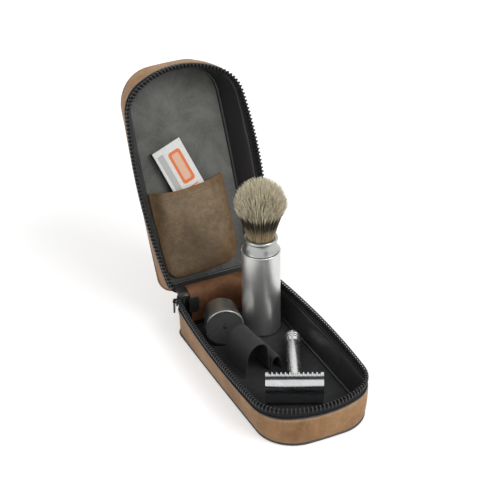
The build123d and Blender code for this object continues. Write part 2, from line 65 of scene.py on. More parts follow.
def makeCamera(s):
    turn, rise, roll = radians(s["heading"]), radians(s["elevation"]), radians(s["roll"])
    ahead = Vector((-sin(turn) * cos(rise), cos(turn) * cos(rise), -sin(rise)))
    side = Vector((cos(turn), sin(turn), 0))
    above = side.cross(ahead)
    right = side * cos(roll) + above * sin(roll)
    up = above * cos(roll) - side * sin(roll)
    data = bpy.data.cameras.new("photoCamera")
    data.lens = s["lens"]
    data.sensor_width = 36.0
    data.clip_start, data.clip_end = 0.05, 20.0
    eye = addObject("photoCamera", data)
    turned = Matrix((right, up, -ahead)).transposed().to_4x4()
    eye.matrix_world = Matrix.Translation(Vector(s["place"]) * mm) @ turned
    scene.camera = eye


makeCamera(camera)
print("camera set")


# A shader node with its settings, and its inputs given as values or as other nodes' outputs
def addNode(tree, kind, inputs=None, **settings):
    node = tree.nodes.new(kind)
    for key, value in settings.items():
        setattr(node, key, value)
    for key, value in (inputs or {}).items():
        if isinstance(value, bpy.types.NodeSocket):
            tree.links.new(value, node.inputs[key])
        else:
            node.inputs[key].default_value = value
    return node


def ramp(tree, factor, stops):
    node = addNode(tree, "ShaderNodeValToRGB", {"Fac": factor})
    elements = node.color_ramp.elements
    while len(elements) < len(stops):
        elements.new(0.5)
    for element, (place, colour) in zip(elements, stops):
        element.position = place
        element.color = (*colour, 1.0)
    return node.outputs["Color"]


def maths(tree, operation, a, b=0.0, clamp=False):
    return addNode(tree, "ShaderNodeMath", {0: a, 1: b}, operation=operation, use_clamp=clamp).outputs[0]


def spread(tree, value, low, high, newLow=0.0, newHigh=1.0):
    limits = {"Value": value, "From Min": low, "From Max": high, "To Min": newLow, "To Max": newHigh}
    return addNode(tree, "ShaderNodeMapRange", limits).outputs["Result"]


def mixColour(tree, factor, a, b):
    inputs = {0: factor}
    for key, value in ((6, a), (7, b)):
        inputs[key] = (*value, 1.0) if isinstance(value, tuple) else value
    return addNode(tree, "ShaderNodeMix", inputs, data_type="RGBA").outputs[2]


def noise(tree, vector, scale, detail=3.0, roughness=0.5, distortion=0.0):
    values = {
        "Vector": vector, "Scale": scale, "Detail": detail, "Roughness": roughness, "Distortion": distortion,
    }
    return addNode(tree, "ShaderNodeTexNoise", values).outputs["Fac"]


def readAttribute(tree, name):
    return addNode(tree, "ShaderNodeAttribute", attribute_name=name).outputs["Fac"]


def newGroup(name, numbers, outputs):
    group = bpy.data.node_groups.new(name, "ShaderNodeTree")
    group.interface.new_socket("Vector", in_out="INPUT", socket_type="NodeSocketVector")
    for label, value in numbers.items():
        group.interface.new_socket(label, in_out="INPUT", socket_type="NodeSocketFloat").default_value = value
    for label in outputs:
        group.interface.new_socket(label, in_out="OUTPUT", socket_type="NodeSocketFloat")
    return group, group.nodes.new("NodeGroupInput").outputs, group.nodes.new("NodeGroupOutput")


def useGroup(tree, group, inputs):
    return addNode(tree, "ShaderNodeGroup", inputs, node_tree=group).outputs


# Waxed leather: cloudy pull-up, scuffs, pebbled grain
def makeHide():
    scales = {"Cloud Scale": 22.0, "Grain Scale": 900.0}
    group, given, leave = newGroup("waxedHide", scales, ["Cloud", "Scuff", "Height"])
    place, cloudScale, grainScale = given["Vector"], given["Cloud Scale"], given["Grain Scale"]
    cloud = noise(group, place, cloudScale, 5.0, 0.62, 0.6)
    scuff = noise(group, place, maths(group, "MULTIPLY", cloudScale, 7.0), 6.0, 0.7, 0.3)
    cells = {"Vector": place, "Scale": grainScale}
    pebble = addNode(group, "ShaderNodeTexVoronoi", cells, feature="SMOOTH_F1")
    crease = noise(group, place, maths(group, "MULTIPLY", grainScale, 0.22), 4.0)
    height = maths(group, "ADD", maths(group, "MULTIPLY", pebble.outputs["Distance"], 0.55), crease)
    for label, value in (("Cloud", cloud), ("Scuff", scuff), ("Height", height)):
        group.links.new(value, leave.inputs[label])
    return group


# Woven cloth: threads along and across, and fluff
def makeWeave():
    group, given, leave = newGroup("wovenCloth", {"Along": 9000.0, "Across": 9000.0}, ["Height", "Shade"])
    parts = addNode(group, "ShaderNodeSeparateXYZ", {0: given["Vector"]}).outputs
    along = maths(group, "SINE", maths(group, "MULTIPLY", parts["X"], given["Along"]))
    across = maths(group, "SINE", maths(group, "MULTIPLY", parts["Y"], given["Across"]))
    both = maths(group, "MULTIPLY", along, across)
    fluff = noise(group, given["Vector"], 900.0)
    group.links.new(maths(group, "ADD", maths(group, "MULTIPLY", both, 0.5), fluff), leave.inputs["Height"])
    group.links.new(spread(group, both, -1.0, 1.0), leave.inputs["Shade"])
    return group


# Metal that has been handled: smears and fine grain
def makeHandling():
    group, given, leave = newGroup("handledMetal", {"Scale": 60.0}, ["Smear", "Height"])
    smear = noise(group, given["Vector"], given["Scale"], 5.0, 0.5, 0.8)
    fine = noise(group, given["Vector"], maths(group, "MULTIPLY", given["Scale"], 30.0), 2.0)
    group.links.new(smear, leave.inputs["Smear"])
    group.links.new(fine, leave.inputs["Height"])
    return group


hideGroup, weaveGroup, handlingGroup = makeHide(), makeWeave(), makeHandling()


# A material, its tree, its shader and its texture coordinates; constants sit on the shader
def newFinish(name, constants):
    material = bpy.data.materials.new(name)
    material.use_nodes = True
    tree = material.node_tree
    shader = tree.nodes["Principled BSDF"].inputs
    for label, value in constants.items():
        shader[label].default_value = value
    return material, tree, shader, tree.nodes.new("ShaderNodeTexCoord").outputs


def setBump(tree, shader, height, strength, depth):
    bump = addNode(tree, "ShaderNodeBump", {"Strength": strength, "Distance": depth * mm, "Height": height})
    tree.links.new(bump.outputs["Normal"], shader["Normal"])


# Leather in three shades; wear is a piece's own attribute that lightens or reddens it at its edges
def leatherFinish(name, s):
    constants = {"Specular IOR Level": 0.35, "Sheen Weight": s["sheen"], "Sheen Roughness": 0.45}
    material, tree, shader, where = newFinish(name, constants)
    hide = useGroup(tree, hideGroup, {"Vector": where["Object"], "Cloud Scale": s["cloud"]})
    low, high = s["reach"]
    base = ramp(tree, hide["Cloud"], [(low, s["dark"]), ((low + high) / 2, s["middle"]), (high, s["light"])])
    if "worn" in s:
        patchy = spread(tree, hide["Scuff"], 0.3, 0.6, 0.55, 1.2)
        uneven = maths(tree, "MULTIPLY", readAttribute(tree, "wear"), patchy, clamp=True)
        base = mixColour(tree, uneven, base, s["worn"])
    base = mixColour(tree, spread(tree, hide["Scuff"], 0.5, 0.78, 0.0, s["scuffs"]), base, s["light"])
    base = mixColour(tree, spread(tree, hide["Height"], 0.9, 0.55, 0.0, 0.35), base, s["dark"])
    tree.links.new(base, shader["Base Color"])
    tree.links.new(spread(tree, hide["Scuff"], 0.3, 0.7, *s["rough"]), shader["Roughness"])
    setBump(tree, shader, hide["Height"], 0.35, 0.4)
    return material


def clothFinish(name, s):
    constants = {
        "Roughness": s.get("rough", 0.7),
        "Sheen Weight": s.get("sheen", 0.2),
        "Sheen Roughness": 0.4,
        "Specular IOR Level": s.get("gloss", 0.3),
    }
    material, tree, shader, where = newFinish(name, constants)
    along, across = s.get("threads", (9000.0, 9000.0))
    place = where["UV" if s.get("byUv", True) else "Object"]
    weave = useGroup(tree, weaveGroup, {"Vector": place, "Along": along, "Across": across})
    patches = noise(tree, where["Object"], s.get("patches", 45.0), 4.0)
    shade = maths(tree, "MULTIPLY", weave["Shade"], 0.5)
    shade = maths(tree, "ADD", shade, maths(tree, "MULTIPLY", patches, 0.6))
    tree.links.new(ramp(tree, shade, [(0.2, s["dark"]), (0.85, s["light"])]), shader["Base Color"])
    setBump(tree, shader, weave["Height"], s.get("bump", 0.3), 0.3)
    return material


def suedeFinish(name, dark, light, sheen=0.35):
    constants = {"Roughness": 0.9, "Sheen Weight": sheen, "Sheen Roughness": 0.5, "Specular IOR Level": 0.15}
    material, tree, shader, where = newFinish(name, constants)
    nap = noise(tree, where["Object"], 26.0, 7.0, 0.72, 0.4)
    fuzz = noise(tree, where["Object"], 1400.0)
    both = maths(tree, "ADD", maths(tree, "MULTIPLY", nap, 0.75), maths(tree, "MULTIPLY", fuzz, 0.25))
    tree.links.new(ramp(tree, both, [(0.34, dark), (0.66, light)]), shader["Base Color"])
    setBump(tree, shader, both, 0.4, 0.5)
    return material


def metalFinish(name, s):
    material, tree, shader, where = newFinish(name, {"Metallic": s.get("metallic", 1.0)})
    metal = useGroup(tree, handlingGroup, {"Vector": where["Object"], "Scale": s["scale"]})
    darker = tuple(c * 0.88 for c in s["colour"])
    tree.links.new(ramp(tree, metal["Smear"], [(0.35, darker), (0.65, s["colour"])]), shader["Base Color"])
    rough, smear = s["rough"], s.get("smear", 0.06)
    rough = spread(tree, metal["Smear"], 0.3, 0.7, rough - smear / 2, rough + smear / 2)
    tree.links.new(rough, shader["Roughness"])
    setBump(tree, shader, metal["Height"], s.get("bump", 0.02), 0.1)
    return material


tanHide = leatherFinish("tanHide", {
    "dark": (0.205, 0.100, 0.040), "middle": (0.360, 0.195, 0.084), "light": (0.50, 0.315, 0.165),
    "worn": (0.54, 0.37, 0.22), "cloud": 26.0, "reach": (0.3, 0.72), "scuffs": 0.5,
    "rough": (0.48, 0.72), "sheen": 0.03,
})
pocketHide = leatherFinish("pocketHide", {
    "dark": (0.070, 0.042, 0.022), "middle": (0.180, 0.126, 0.074), "light": (0.29, 0.212, 0.128),
    "worn": (0.225, 0.120, 0.044), "cloud": 22.0, "reach": (0.3, 0.66), "scuffs": 0.45,
    "rough": (0.5, 0.7), "sheen": 0.05,
})
foldHide = leatherFinish("foldHide", {
    "dark": (0.075, 0.028, 0.010), "middle": (0.165, 0.066, 0.024), "light": (0.27, 0.13, 0.055),
    "cloud": 40.0, "reach": (0.3, 0.72), "scuffs": 0.4, "rough": (0.5, 0.7), "sheen": 0.04,
})
lidSuede = suedeFinish("lidSuede", (0.080, 0.080, 0.075), (0.205, 0.205, 0.192), 0.2)
traySuede = suedeFinish("traySuede", (0.015, 0.015, 0.016), (0.044, 0.045, 0.046), 0.08)
blackLining = clothFinish("blackLining", {
    "dark": (0.007, 0.007, 0.008), "light": (0.018, 0.018, 0.020),
    "rough": 0.36, "sheen": 0.05, "bump": 0.08, "gloss": 0.6,
})
blackPiping = clothFinish("blackPiping", {
    "dark": (0.009, 0.010, 0.011), "light": (0.022, 0.023, 0.025),
    "rough": 0.32, "sheen": 0.02, "bump": 0.1, "gloss": 0.6,
})
zipWeave = clothFinish("zipWeave", {
    "dark": (0.004, 0.004, 0.005), "light": (0.015, 0.015, 0.017), "threads": (7400.0, 9600.0),
    "rough": 0.72, "sheen": 0.04, "bump": 0.45,
})
loopElastic = clothFinish("loopElastic", {
    "dark": (0.022, 0.022, 0.023), "light": (0.046, 0.046, 0.048), "threads": (5200.0, 12500.0),
    "rough": 0.75, "sheen": 0.08, "bump": 0.3,
})
pocketThread = clothFinish("pocketThread", {
    "dark": (0.19, 0.125, 0.065), "light": (0.27, 0.185, 0.105), "byUv": False,
})
tanThread = clothFinish("tanThread", {
    "dark": (0.34, 0.22, 0.12), "light": (0.5, 0.36, 0.22), "byUv": False, "rough": 0.6,
})
blackThread = clothFinish("blackThread", {
    "dark": (0.02, 0.02, 0.022), "light": (0.06, 0.06, 0.062), "byUv": False,
})
toothNylon = metalFinish("toothNylon", {
    "colour": (0.012, 0.012, 0.014), "rough": 0.32, "metallic": 0.0, "scale": 200.0,
})
blackMetal = metalFinish("blackMetal", {
    "colour": (0.022, 0.022, 0.024), "rough": 0.26, "metallic": 0.4, "scale": 180.0,
})
satinAluminium = metalFinish("satinAluminium", {
    "colour": (0.72, 0.725, 0.71), "rough": 0.38, "metallic": 0.95, "scale": 40.0, "bump": 0.03,
})
capAluminium = metalFinish("capAluminium", {
    "colour": (0.46, 0.465, 0.45), "rough": 0.34, "scale": 40.0, "bump": 0.03,
})
# Painted reflection: the cap's face disc is coloured dark grey for the dark surroundings its satin face
# reflects
paintedReflectionDisc = metalFinish("paintedReflectionDisc", {
    "colour": (0.085, 0.087, 0.086), "rough": 0.5, "metallic": 0.2, "scale": 300.0, "bump": 0.15,
})
polishedChrome = metalFinish("polishedChrome", {
    "colour": (0.70, 0.71, 0.725), "rough": 0.13, "smear": 0.04, "scale": 90.0,
})
satinChrome = metalFinish("satinChrome", {
    "colour": (0.78, 0.785, 0.79), "rough": 0.27, "scale": 90.0,
})
bladeSteel = metalFinish("bladeSteel", {"colour": (0.6, 0.61, 0.62), "rough": 0.22, "scale": 150.0})
pressedBoard = suedeFinish("pressedBoard", (0.16, 0.12, 0.08), (0.3, 0.23, 0.16), 0.1)
greyCard = suedeFinish("greyCard", (0.22, 0.22, 0.21), (0.34, 0.34, 0.33), 0.1)
print("finishes made")


def meshFrom(bm, name):
    mesh = bpy.data.meshes.new(name)
    bm.to_mesh(mesh)
    bm.free()
    return mesh


# Links a mesh as a named piece that rides on a body, wears a finish and may stand for CAD nodes
def keep(bm, name, finish, body, replaced=(), smooth=True, place=None):
    bmesh.ops.transform(bm, matrix=Matrix.Scale(mm, 4) @ (place or Matrix.Identity(4)), verts=bm.verts)
    for face in bm.faces:
        face.smooth = smooth
    mesh = meshFrom(bm, name)
    mesh.materials.append(finish)
    piece = addObject(name, mesh)
    if body:
        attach(piece, body)
    if replaced:
        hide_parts(*replaced)
    return piece


def soften(piece, thickness=0.0, levels=1, edge=0.0):
    if thickness:
        shell = piece.modifiers.new("thickness", "SOLIDIFY")
        shell.thickness, shell.offset, shell.use_even_offset = thickness * mm, 0.0, True
    if edge:
        rounded = piece.modifiers.new("edge", "BEVEL")
        rounded.width, rounded.segments, rounded.limit_method = edge * mm, 2, "ANGLE"
        rounded.angle_limit = radians(50)
    if levels:
        finer = piece.modifiers.new("finer", "SUBSURF")
        finer.levels = finer.render_levels = levels
    return piece


# The mesh that a curve, or a piece with its modifiers, comes to
def finishedMesh(thing):
    bpy.context.view_layer.update()
    return bpy.data.meshes.new_from_object(thing.evaluated_get(bpy.context.evaluated_depsgraph_get()))


# Puts a piece's modifiers into its mesh
def settle(piece):
    done = finishedMesh(piece)
    piece.modifiers.clear()
    piece.data = done


# How far along a line each of its points lies
def distances(points):
    lengths = [0.0]
    for a, b in zip(points, points[1:]):
        lengths.append(lengths[-1] + (b - a).length)
    return lengths


# A skin drawn from row to row by extruding edges; its UV map is in metres along and across the rows
def skinRows(rows, closedRow=True, closedAcross=False, ends=False):
    bm = bmesh.new()
    column = bm.verts.layers.int.new("column")
    rank = bm.verts.layers.int.new("rank")
    uv = bm.loops.layers.uv.new("UVMap")
    first = [bm.verts.new(p) for p in rows[0]]
    count = len(first)
    for number, vertex in enumerate(first):
        vertex[column] = number
    edges = [bm.edges.new((a, b)) for a, b in zip(first, first[1:])]
    if closedRow:
        edges.append(bm.edges.new((first[-1], first[0])))
    everyRow = list(rows) + ([rows[0]] if closedAcross else [])
    for order, row in enumerate(everyRow[1:], start=1):
        made = bmesh.ops.extrude_edge_only(bm, edges=edges)["geom"]
        fresh = {g for g in made if isinstance(g, bmesh.types.BMVert)}
        edges = [g for g in made if isinstance(g, bmesh.types.BMEdge) and set(g.verts) <= fresh]
        for vertex in fresh:
            vertex.co = row[vertex[column]]
            vertex[rank] = order
    along = distances([*rows[0], rows[0][0]])
    across = distances([row[count // 2] for row in everyRow])
    for face in bm.faces:
        numbers = [loop.vert[column] for loop in face.loops]
        wraps = closedRow and max(numbers) - min(numbers) > 1
        for loop in face.loops:
            number = count if wraps and loop.vert[column] == 0 else loop.vert[column]
            loop[uv].uv = (along[number] * mm, across[loop.vert[rank]] * mm)
    if closedAcross:
        bmesh.ops.remove_doubles(bm, verts=bm.verts, dist=1e-4)
    if ends:
        bmesh.ops.holes_fill(bm, edges=[e for e in bm.edges if e.is_boundary], sides=0)
    bmesh.ops.recalc_face_normals(bm, faces=bm.faces)
    return bm


# Points at even steps along a smooth line through a few
def smoothLine(points, count):
    through = [Vector(p) for p in points]
    through = [through[0] * 2 - through[1]] + through + [through[-1] * 2 - through[-2]]
    fine, steps = [], 12
    for a, b, c, d in zip(through, through[1:], through[2:], through[3:]):
        square, cube = a * 2 - b * 5 + c * 4 - d, b * 3 - a - c * 3 + d
        for k in range(steps):
            t = k / steps
            fine.append((b * 2 + (c - a) * t + square * t * t + cube * t**3) / 2)
    fine.append(through[-2])
    lengths = distances(fine)
    found, step = [], 0
    for k in range(count):
        want = lengths[-1] * k / (count - 1)
        while step < len(fine) - 2 and lengths[step + 1] < want:
            step += 1
        share = (want - lengths[step]) / max(lengths[step + 1] - lengths[step], 1e-9)
        found.append(fine[step].lerp(fine[step + 1], share))
    return found


# The case is two shallow shells; every height is over a half's own sole, and ridgeEnd is half the
# line down its middle
caseSizes = {
    "halfWidth": 41.7, "backY": 88.3, "frontCorner": 28.6, "hingeCorner": 12.0, "wallHeight": 23.0,
    "middleY": -20.0, "shoulder": 0.62, "ridgeEnd": 46.0, "hingeFade": (60.0, 82.0),
}
leanSin, leanCos = 0.43209, 0.90183
lidFoot = Vector((0, 114.545, 22.498))
lidUp, lidIn = Vector((0, leanSin, leanCos)), Vector((0, -leanCos, leanSin))
lidPlace = Matrix((
    (-1, 0, 0, 0), (0, -leanSin, -leanCos, 153.683), (0, -leanCos, leanSin, 96.779), (0, 0, 0, 1),
))
halves = {
    "tray": {"side": 5.0, "front": 1.4, "curve": 15.0, "place": Matrix(), "sole": "tray_sole", "seed": 3},
    "lid": {"side": 9.0, "front": -1.2, "curve": 17.0, "place": lidPlace, "sole": "lid_panel", "seed": 8},
}


def smoothStep(value, low, high):
    t = min(1.0, max(0.0, (value - low) / (high - low)))
    return t * t * (3 - 2 * t)


def arcPoints(x, y, radius, start, end, count):
    turns = [start + (end - start) * k / count for k in range(1, count + 1)]
    return [(x + radius * cos(turn), y + radius * sin(turn)) for turn in turns]


# The outline of a half at a height, set in by inset: 184 points from the middle of its hinge wall
def outline(half, height, inset=0.0):
    c, h = caseSizes, halves[half]
    rise = height / c["wallHeight"]
    frontY = -(c["backY"] + h["front"] * rise)
    curve = 2.0 + (h["curve"] - 2.0) * rise
    ax, ay = c["halfWidth"], c["backY"]
    bx, by = c["halfWidth"] + 0.4 + h["side"] * rise, c["middleY"]
    sx, sy = c["halfWidth"] + h["side"] * c["shoulder"] * rise, frontY + curve
    frontR = (sx**2 + curve**2) / (2 * curve)
    d = 2 * (ax * (by - sy) + bx * (sy - ay) + sx * (ay - by))
    a2, b2, s2 = ax * ax + ay * ay, bx * bx + by * by, sx * sx + sy * sy
    cx = (a2 * (by - sy) + b2 * (sy - ay) + s2 * (ay - by)) / d
    cy = (a2 * (sx - bx) + b2 * (ax - sx) + s2 * (bx - ax)) / d
    sideR = sqrt((ax - cx) ** 2 + (ay - cy) ** 2)
    hy = c["backY"] - c["hingeCorner"]
    hx = cx + sqrt((sideR - c["hingeCorner"]) ** 2 - (hy - cy) ** 2)
    r1, r2 = sideR - c["frontCorner"], frontR - c["frontCorner"]
    fy = frontY + frontR
    dx, dy = -cx, fy - cy
    apart = sqrt(dx * dx + dy * dy)
    along = (r1 * r1 - r2 * r2 + apart * apart) / (2 * apart)
    off = sqrt(max(r1 * r1 - along * along, 0.0))
    mx, my = cx + dx * along / apart, cy + dy * along / apart
    px, py = min(
        [(mx + off * dy / apart, my - off * dx / apart), (mx - off * dy / apart, my + off * dx / apart)],
        key=lambda p: p[1],
    )
    hingeEnd, sideEnd = atan2(hy - cy, hx - cx), atan2(py - cy, px - cx)
    frontStart = atan2(py - fy, px)
    backY = c["backY"] - inset
    right = [(x, backY) for x in (6.0, 12.0, 18.0, 24.0, 28.0, hx)]
    right += arcPoints(hx, hy, c["hingeCorner"] - inset, pi / 2, hingeEnd, 12)
    right += arcPoints(cx, cy, sideR - inset, hingeEnd, sideEnd, 44)
    right += arcPoints(px, py, c["frontCorner"] - inset, sideEnd, frontStart, 18)
    right += arcPoints(0.0, fy, frontR - inset, frontStart, -pi / 2, 12)
    points = [(0.0, backY)] + right + [(-x, y) for x, y in reversed(right[:-1])]
    return [Vector((x, y, height)) for x, y in points]


# Outlines for a list of (height, inset); what stands proud is drawn in at the hinge wall
def wallRows(half, profile, hingeInset=None):
    start, end = caseSizes["hingeFade"]
    rows = []
    for height, inset in profile:
        row = outline(half, height, inset)
        if hingeInset is not None and inset < hingeInset:
            plain = outline(half, height, hingeInset)
            shares = [min(1.0, max(0.0, (q.y - start) / (end - start))) for q in plain]
            row = [p.lerp(q, share) for p, q, share in zip(row, plain, shares)]
        rows.append(row)
    return rows


# The part of a row that leaves the hinge wall's middle open
def openRow(row):
    return row[5:-4]


# The nearest point of the line down a half's middle
def middlePoint(p):
    end = caseSizes["ridgeEnd"]
    return Vector((0, max(-end, min(end, p.y)), p.z))


def roundProfile(s, count=8):
    turns = [2 * pi * k / count for k in range(count)]
    return [(s["height"] + s["radius"] * sin(t), s["inset"] - s["radius"] * cos(t)) for t in turns]


# Rows that close from a rim on a line down the middle, rising by a crown
def padRows(rim, shares, crown):
    rows = []
    for share in shares:
        row = []
        for p in rim:
            q = middlePoint(p).lerp(p, share)
            q.z = p.z + crown * (1 - share**4)
            row.append(q)
        rows.append(row)
    return rows


# A skin whose first and last rows meet on the line down the middle
def closedPad(rows):
    bm = skinRows(rows)
    bmesh.ops.remove_doubles(bm, verts=bm.verts, dist=0.01)
    bmesh.ops.recalc_face_normals(bm, faces=bm.faces)
    return bm


# Even steps along a row: place and direction
def stations(row, pitch, closed=False, margin=0.0):
    points = [*row, row[0]] if closed else row
    lengths = distances(points)
    total = lengths[-1] - 2 * margin
    count = int(total / pitch)
    found, step = [], 0
    for k in range(count + (0 if closed else 1)):
        want = margin + total * k / count
        while lengths[step + 1] < want and step < len(points) - 2:
            step += 1
        a, b = points[step], points[step + 1]
        share = (want - lengths[step]) / max(lengths[step + 1] - lengths[step], 1e-9)
        found.append((a.lerp(b, share), (b - a).normalized()))
    return found


def setAt(point, along, up):
    side = up.cross(along).normalized()
    return Matrix.Translation(point) @ Matrix((along, side, along.cross(side))).transposed().to_4x4()


# One mesh from a small template set down at each matrix
def setOut(template, matrices):
    bm = bmesh.new()
    for matrix in matrices:
        before = len(bm.verts)
        bm.from_mesh(template)
        bm.verts.ensure_lookup_table()
        bmesh.ops.transform(bm, matrix=matrix, verts=bm.verts[before:])
    return bm


stitch = {"length": 2.4, "radius": 0.34, "flatness": 0.8}
teeth = {
    "seat": 27.9, "inset": 1.7, "pitch": 3.0, "closed": False, "margin": 0.5, "end": 81.3,
    "wire": 0.62, "wireWidth": 1.2, "reach": 1.5, "tall": 3.7, "archHeight": 2.5,
    "arch": [
        (-0.7, 0.0), (-1.0, 0.6), (-0.85, 1.25), (-0.35, 1.95),
        (0.05, 2.2), (0.4, 1.95), (0.85, 1.2), (0.75, 0.0),
    ],
}


def makeStitch(s):
    bm = bmesh.new()
    bmesh.ops.create_uvsphere(bm, u_segments=6, v_segments=5, radius=1.0)
    bmesh.ops.rotate(bm, verts=bm.verts, matrix=Matrix.Rotation(pi / 2, 3, "Y"))
    bmesh.ops.scale(bm, verts=bm.verts, vec=(s["length"] / 2, s["radius"], s["radius"] * s["flatness"]))
    return meshFrom(bm, "stitch")


# A coil tooth: one loop of wire that stands up from the tape
def makeTooth(s):
    arch, wide = s["arch"], s["wireWidth"]
    rows = []
    for k, (out, up) in enumerate(arch):
        a, b = arch[max(k - 1, 0)], arch[min(k + 1, len(arch) - 1)]
        across = Vector((0, b[0] - a[0], b[1] - a[1])).normalized().cross(Vector((1, 0, 0)))
        centre = Vector((0, out * s["reach"], up * s["tall"] / s["archHeight"]))
        turns = [2 * pi * j / 6 for j in range(6)]
        rows.append([centre + (Vector((wide * cos(t), 0, 0)) + across * sin(t)) * s["wire"] for t in turns])
    return meshFrom(skinRows(rows, ends=True), "tooth")


stitchMesh, toothMesh = makeStitch(stitch), makeTooth(teeth)

band = {
    "profile": [
        (1.25, 0.5), (1.5, 0.1), (2.2, -0.25), (4.5, -0.6), (9.0, -0.75), (14.5, -0.65), (19.0, -0.4),
        (21.4, -0.1), (22.5, 0.2), (22.95, 0.75), (22.7, 1.3), (20.0, 1.5), (11.0, 1.55), (2.0, 1.55),
        (1.3, 1.1),
    ],
    "rimWear": (20.5, 2.5, 0.8), "soleWear": (3.0, 1.8, 0.5), "hingeInset": 0.4,
}
edgeCord = {"height": 0.95, "inset": 0.1, "radius": 0.9}
rimCord = {"height": 23.35, "inset": 0.55, "radius": 0.62}
panel = {"profile": [(1.4, 0.9), (0.75, 1.1), (0.25, 1.9), (0.0, 3.2)], "shares": [0.9, 0.7, 0.45, 0.2, 0.0]}
lining = {
    "profile": [
        (3.1, 3.2), (3.2, 4.3), (4.2, 4.75), (8.0, 4.95), (13.0, 4.5), (18.0, 3.9), (21.8, 3.45), (22.8, 3.0),
        (23.1, 2.5), (22.4, 1.75), (12.0, 1.7), (3.2, 1.75),
    ],
    "ripple": 0.28,
}
floorCord = {"height": 4.35, "inset": 5.15, "radius": 1.0}
floorPad = {
    "low": 2.65, "high": 3.25, "edge": 5.3, "round": (0.2, 1.2), "crown": {"tray": 0.25, "lid": 0.9},
    "lowShares": [0.0, 0.4, 0.8, 1.0], "topShares": [1.0, 0.9, 0.8, 0.65, 0.5, 0.35, 0.2, 0.0],
}
tapeBand = {
    "profile": [
        (22.9, 1.2), (24.4, 1.15), (26.4, 1.15), (28.0, 1.0), (28.7, 1.1), (29.0, 1.8), (28.7, 2.5),
        (28.0, 2.55), (26.0, 2.4), (24.0, 2.5), (22.9, 2.6),
    ],
}
rimSeam = {"seat": 21.3, "inset": -0.12, "pitch": 3.1, "closed": True, "margin": 0.0, "end": 84.0}
tapeSeam = {"seat": 24.4, "inset": 2.62, "pitch": 2.6, "closed": False, "margin": 2.0, "end": 90.0}


# Cloth that ripples between its seams
def rippled(rows, amount, seed):
    phases = np.random.default_rng(seed).uniform(0, 2 * pi, 5)
    counts = (9, 14, 23, 31, 47)
    for order, row in enumerate(rows[:9]):
        weight = sin(pi * order / 8) * amount / 2
        for k, p in enumerate(row):
            waves = [
                sin(2 * pi * c * k / len(row) + phase + order * 0.35) / (1 + 0.4 * j)
                for j, (c, phase) in enumerate(zip(counts, phases))
            ]
            p += (middlePoint(p) - p).normalized() * (weight * sum(waves))
    return rows


# The leather is worn at the rim and, less, at the sole
def edgeWear(s, height):
    rim, fade, most = s["rimWear"]
    worn = max(0.0, (height - rim) / fade) ** 1.5 * most
    sole, fade, most = s["soleWear"]
    return worn + max(0.0, (sole - height) / fade) * most


# Leather outside: the wall band, the cords at its edges and the sole
def makeOutside(half):
    h = halves[half]
    place = h["place"]
    bm = skinRows(wallRows(half, band["profile"], band["hingeInset"]), closedAcross=True)
    wear = bm.verts.layers.float.new("wear")
    for vertex in bm.verts:
        vertex[wear] = edgeWear(band, vertex.co.z)
    piece = keep(bm, half + "LeatherBand", tanHide, half, [half + "_wall"], place=place)
    soften(piece)

    for name, cord, node in (
        ("EdgeCord", edgeCord, "_edge_piping"),
        ("RimCord", rimCord, "_rim_piping"),
        ("FloorCord", floorCord, "_floor_piping"),
    ):
        bm = skinRows(wallRows(half, roundProfile(cord)), closedAcross=True)
        worn = half + name == "lidEdgeCord"
        finish, slot = (tanHide, "tan_leather") if worn else (blackPiping, "black_piping")
        keep(bm, half + name, finish, half, [half + node], place=place)

    below = wallRows(half, panel["profile"])
    below += padRows(below[-1], panel["shares"], 0.0)
    above = padRows(below[0], panel["shares"], 0.0)
    bm = closedPad(list(reversed(above)) + below)
    keep(bm, half + "SolePanel", tanHide, half, [h["sole"]], place=place)


# Cloth inside: the wall lining and the pad on the floor
def makeInside(half):
    h, s = halves[half], floorPad
    place = h["place"]
    rows = rippled(wallRows(half, lining["profile"]), lining["ripple"], h["seed"])
    bm = skinRows(rows, closedAcross=True)
    node = half + "_wall_lining"
    piece = keep(bm, half + "WallLining", blackLining, half, [node], place=place)
    soften(piece)

    roundHigh, roundIn = s["round"]
    top = padRows(outline(half, s["high"], s["edge"] + roundIn), s["topShares"], s["crown"][half])
    low = padRows(outline(half, s["low"], s["edge"]), s["lowShares"], 0.0)
    bm = closedPad(low + [outline(half, s["high"] - roundHigh, s["edge"])] + top)
    finish = lidSuede if half == "lid" else traySuede
    piece = keep(bm, half + "FloorPad", finish, half, [half + "_floor_cloth"], place=place)


# Zip tape with its teeth, and the stitches along the tape and the rim
def makeZip(half):
    place, up = halves[half]["place"], Vector((0, 0, 1))
    rows = [openRow(row) for row in wallRows(half, tapeBand["profile"])]
    bm = skinRows(rows, closedRow=False, closedAcross=True, ends=True)
    keep(bm, half + "ZipTape", zipWeave, half, [half + "_zip_tape"], place=place)

    for name, s, template, finish, slot, nodes in (
        ("ZipTeeth", teeth, toothMesh, toothNylon, "zip_teeth", [half + "_zip_teeth"]),
        ("RimStitches", rimSeam, stitchMesh, tanThread, "tan_leather", []),
        ("TapeStitches", tapeSeam, stitchMesh, blackThread, "zip_tape", []),
    ):
        line = outline(half, s["seat"], s["inset"])
        line = line if s["closed"] else openRow(line)
        places = []
        for point, along in stations(line, s["pitch"], s["closed"], s["margin"]):
            if point.y < s["end"]:
                places.append(setAt(point, along, up if s is teeth else along.cross(up)))
        keep(setOut(template, places), half + name, finish, half, nodes, place=place)


for half in halves:
    makeOutside(half)
    makeInside(half)
    makeZip(half)
    print(half, "made")

